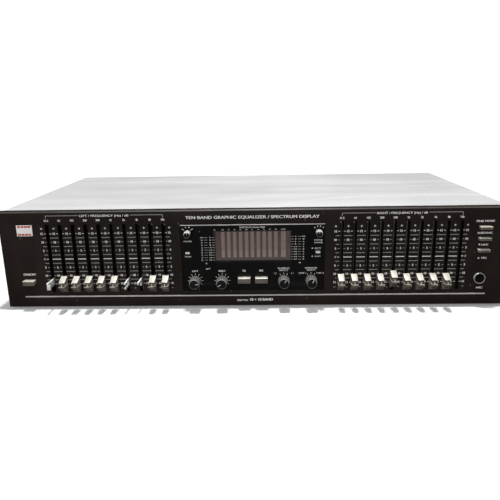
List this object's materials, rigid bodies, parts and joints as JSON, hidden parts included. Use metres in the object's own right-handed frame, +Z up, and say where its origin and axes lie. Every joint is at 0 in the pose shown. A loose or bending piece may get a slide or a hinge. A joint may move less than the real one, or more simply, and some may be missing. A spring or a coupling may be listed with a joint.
{
  "type": "graphic equalizer",
  "caption": "Full-width hi-fi graphic equalizer with two banks of slide controls, a centre spectrum display, rotary selectors, push buttons and rear phono jacks.",
  "frame": {"origin": "middle of the box's base, on the surface that the feet stand on", "axes": "+Z up, -Y out of the control face, +X to the right as seen from the front"},
  "size_m": [0.4422, 0.2552, 0.0895],
  "materials": {
    "fascia_paint": "satin black",
    "cover_paint": "pale grey satin",
    "rear_paint": "satin black",
    "bright_trim": "satin",
    "gloss_black": "gloss",
    "smoked_filter": "smoked",
    "tube_glass": "clear over grey",
    "zinc_steel": "zinc plated",
    "screw_steel": "plated",
    "lever_steel": "bright",
    "foot_plastic": "matte",
    "black_plastic": "matte",
    "circuit_board": "phenolic",
    "transformer_iron": "varnished",
    "component_plastic": "sleeved",
    "jack_chrome": "bright",
    "cap_silver": "silver-plated satin",
    "knob_silver": "silver-plated satin"
  },
  "bodies": {
    "case": {"fascia": "fascia_paint", "trim_strip": "bright_trim", "badge_plate": "bright_trim", "window_plate": "gloss_black", "display_filter": "smoked_filter", "display_tube": "tube_glass", "front_chassis_plate": "zinc_steel", "chassis_tray": "zinc_steel", "rear_panel": "rear_paint", "top_cover": "cover_paint", "feet": "foot_plastic", "case_screws": "screw_steel", "board_screws": "screw_steel", "main_board": "circuit_board", "slider_board_left": "circuit_board", "slider_board_right": "circuit_board", "slide_pots_left": "zinc_steel", "slide_pots_right": "zinc_steel", "control_board": "circuit_board", "rotary_pots": "zinc_steel", "switch_bodies": "black_plastic", "power_transformer": "transformer_iron", "board_components": "component_plastic", "phono_jacks": "black_plastic", "mic_jack": "jack_chrome", "cord_gland": "black_plastic"},
    "slider_left_31_5": {"slider_left_31_5": "lever_steel"},
    "slider_left_63": {"slider_left_63": "cap_silver"},
    "slider_left_125": {"slider_left_125": "cap_silver"},
    "slider_left_250": {"slider_left_250": "cap_silver"},
    "slider_left_500": {"slider_left_500": "cap_silver"},
    "slider_left_1k": {"slider_left_1k": "cap_silver"},
    "slider_left_2k": {"slider_left_2k": "lever_steel"},
    "slider_left_4k": {"slider_left_4k": "lever_steel"},
    "slider_left_8k": {"slider_left_8k": "cap_silver"},
    "slider_left_16k": {"slider_left_16k": "cap_silver"},
    "slider_right_31_5": {"slider_right_31_5": "cap_silver"},
    "slider_right_63": {"slider_right_63": "cap_silver"},
    "slider_right_125": {"slider_right_125": "cap_silver"},
    "slider_right_250": {"slider_right_250": "cap_silver"},
    "slider_right_500": {"slider_right_500": "cap_silver"},
    "slider_right_1k": {"slider_right_1k": "cap_silver"},
    "slider_right_2k": {"slider_right_2k": "cap_silver"},
    "slider_right_4k": {"slider_right_4k": "cap_silver"},
    "slider_right_8k": {"slider_right_8k": "cap_silver"},
    "slider_right_16k": {"slider_right_16k": "lever_steel"},
    "attenuator_knob_left": {"attenuator_knob_left": "knob_silver"},
    "attenuator_knob_right": {"attenuator_knob_right": "knob_silver"},
    "dubbing_knob": {"dubbing_knob": "knob_silver"},
    "monitor_knob": {"monitor_knob": "knob_silver"},
    "meter_knob": {"meter_knob": "knob_silver"},
    "meter_range_knob": {"meter_range_knob": "knob_silver"},
    "power_button": {"power_button": "cap_silver"},
    "equalizer_button": {"equalizer_button": "cap_silver"},
    "record_button": {"record_button": "cap_silver"},
    "pink_noise_button": {"pink_noise_button": "cap_silver"},
    "subsonic_button": {"subsonic_button": "cap_silver"},
    "line_mic_button": {"line_mic_button": "cap_silver"},
    "display_button": {"display_button": "cap_silver"},
    "range_selector": {"range_selector": "cap_silver"}
  },
  "joints": [
    {"name": "slide_left_31_5", "type": "slide", "parent": "case", "child": "slider_left_31_5", "axis": [0, 0, 1], "range_m": [0, 0.045]},
    {"name": "slide_left_63", "type": "slide", "parent": "case", "child": "slider_left_63", "axis": [0, 0, 1], "range_m": [0, 0.045]},
    {"name": "slide_left_125", "type": "slide", "parent": "case", "child": "slider_left_125", "axis": [0, 0, 1], "range_m": [0, 0.045]},
    {"name": "slide_left_250", "type": "slide", "parent": "case", "child": "slider_left_250", "axis": [0, 0, 1], "range_m": [0, 0.045]},
    {"name": "slide_left_500", "type": "slide", "parent": "case", "child": "slider_left_500", "axis": [0, 0, 1], "range_m": [0, 0.045]},
    {"name": "slide_left_1k", "type": "slide", "parent": "case", "child": "slider_left_1k", "axis": [0, 0, 1], "range_m": [0, 0.045]},
    {"name": "slide_left_2k", "type": "slide", "parent": "case", "child": "slider_left_2k", "axis": [0, 0, 1], "range_m": [0, 0.045]},
    {"name": "slide_left_4k", "type": "slide", "parent": "case", "child": "slider_left_4k", "axis": [0, 0, 1], "range_m": [0, 0.045]},
    {"name": "slide_left_8k", "type": "slide", "parent": "case", "child": "slider_left_8k", "axis": [0, 0, 1], "range_m": [0, 0.045]},
    {"name": "slide_left_16k", "type": "slide", "parent": "case", "child": "slider_left_16k", "axis": [0, 0, 1], "range_m": [0, 0.045]},
    {"name": "slide_right_31_5", "type": "slide", "parent": "case", "child": "slider_right_31_5", "axis": [0, 0, 1], "range_m": [0, 0.045]},
    {"name": "slide_right_63", "type": "slide", "parent": "case", "child": "slider_right_63", "axis": [0, 0, 1], "range_m": [0, 0.045]},
    {"name": "slide_right_125", "type": "slide", "parent": "case", "child": "slider_right_125", "axis": [0, 0, 1], "range_m": [0, 0.045]},
    {"name": "slide_right_250", "type": "slide", "parent": "case", "child": "slider_right_250", "axis": [0, 0, 1], "range_m": [0, 0.045]},
    {"name": "slide_right_500", "type": "slide", "parent": "case", "child": "slider_right_500", "axis": [0, 0, 1], "range_m": [-0.0027, 0.0423]},
    {"name": "slide_right_1k", "type": "slide", "parent": "case", "child": "slider_right_1k", "axis": [0, 0, 1], "range_m": [0, 0.045]},
    {"name": "slide_right_2k", "type": "slide", "parent": "case", "child": "slider_right_2k", "axis": [0, 0, 1], "range_m": [0, 0.045]},
    {"name": "slide_right_4k", "type": "slide", "parent": "case", "child": "slider_right_4k", "axis": [0, 0, 1], "range_m": [0, 0.045]},
    {"name": "slide_right_8k", "type": "slide", "parent": "case", "child": "slider_right_8k", "axis": [0, 0, 1], "range_m": [0, 0.045]},
    {"name": "slide_right_16k", "type": "slide", "parent": "case", "child": "slider_right_16k", "axis": [0, 0, 1], "range_m": [0, 0.045]},
    {"name": "attenuator_left_turn", "type": "hinge", "parent": "case", "child": "attenuator_knob_left", "pos_m": [-0.05035, -0.1224, 0.0267], "axis": [0, 1, 0], "range_deg": [-240, 60]},
    {"name": "attenuator_right_turn", "type": "hinge", "parent": "case", "child": "attenuator_knob_right", "pos_m": [-0.02685, -0.1224, 0.0267], "axis": [0, 1, 0], "range_deg": [-30, 270]},
    {"name": "dubbing_turn", "type": "hinge", "parent": "case", "child": "dubbing_knob", "pos_m": [0.0269, -0.1224, 0.0267], "axis": [0, 1, 0], "range_deg": [-60, 0]},
    {"name": "monitor_turn", "type": "hinge", "parent": "case", "child": "monitor_knob", "pos_m": [0.0506, -0.1224, 0.0267], "axis": [0, 1, 0], "range_deg": [-60, 0]},
    {"name": "meter_turn", "type": "hinge", "parent": "case", "child": "meter_knob", "pos_m": [-0.0555, -0.1224, 0.0693], "axis": [0, 1, 0], "range_deg": [-30, 30]},
    {"name": "meter_range_turn", "type": "hinge", "parent": "case", "child": "meter_range_knob", "pos_m": [0.05685, -0.1224, 0.0691], "axis": [0, 1, 0], "range_deg": [-30, 30]},
    {"name": "power_press", "type": "slide", "parent": "case", "child": "power_button", "axis": [0, 1, 0], "range_m": [0, 0.003], "stiffness_N_per_m": 300},
    {"name": "equalizer_press", "type": "slide", "parent": "case", "child": "equalizer_button", "axis": [0, 1, 0], "range_m": [0, 0.003], "stiffness_N_per_m": 300},
    {"name": "record_press", "type": "slide", "parent": "case", "child": "record_button", "axis": [0, 1, 0], "range_m": [0, 0.003], "stiffness_N_per_m": 300},
    {"name": "pink_noise_press", "type": "slide", "parent": "case", "child": "pink_noise_button", "axis": [0, 1, 0], "range_m": [0, 0.003], "stiffness_N_per_m": 300},
    {"name": "subsonic_press", "type": "slide", "parent": "case", "child": "subsonic_button", "axis": [0, 1, 0], "range_m": [0, 0.003], "stiffness_N_per_m": 300},
    {"name": "line_mic_press", "type": "slide", "parent": "case", "child": "line_mic_button", "axis": [0, 1, 0], "range_m": [0, 0.003], "stiffness_N_per_m": 300},
    {"name": "display_press", "type": "slide", "parent": "case", "child": "display_button", "axis": [0, 1, 0], "range_m": [0, 0.0015], "stiffness_N_per_m": 300},
    {"name": "range_select", "type": "slide", "parent": "case", "child": "range_selector", "axis": [0, 0, 1], "range_m": [-0.0017, 0.0017]}
  ]
}
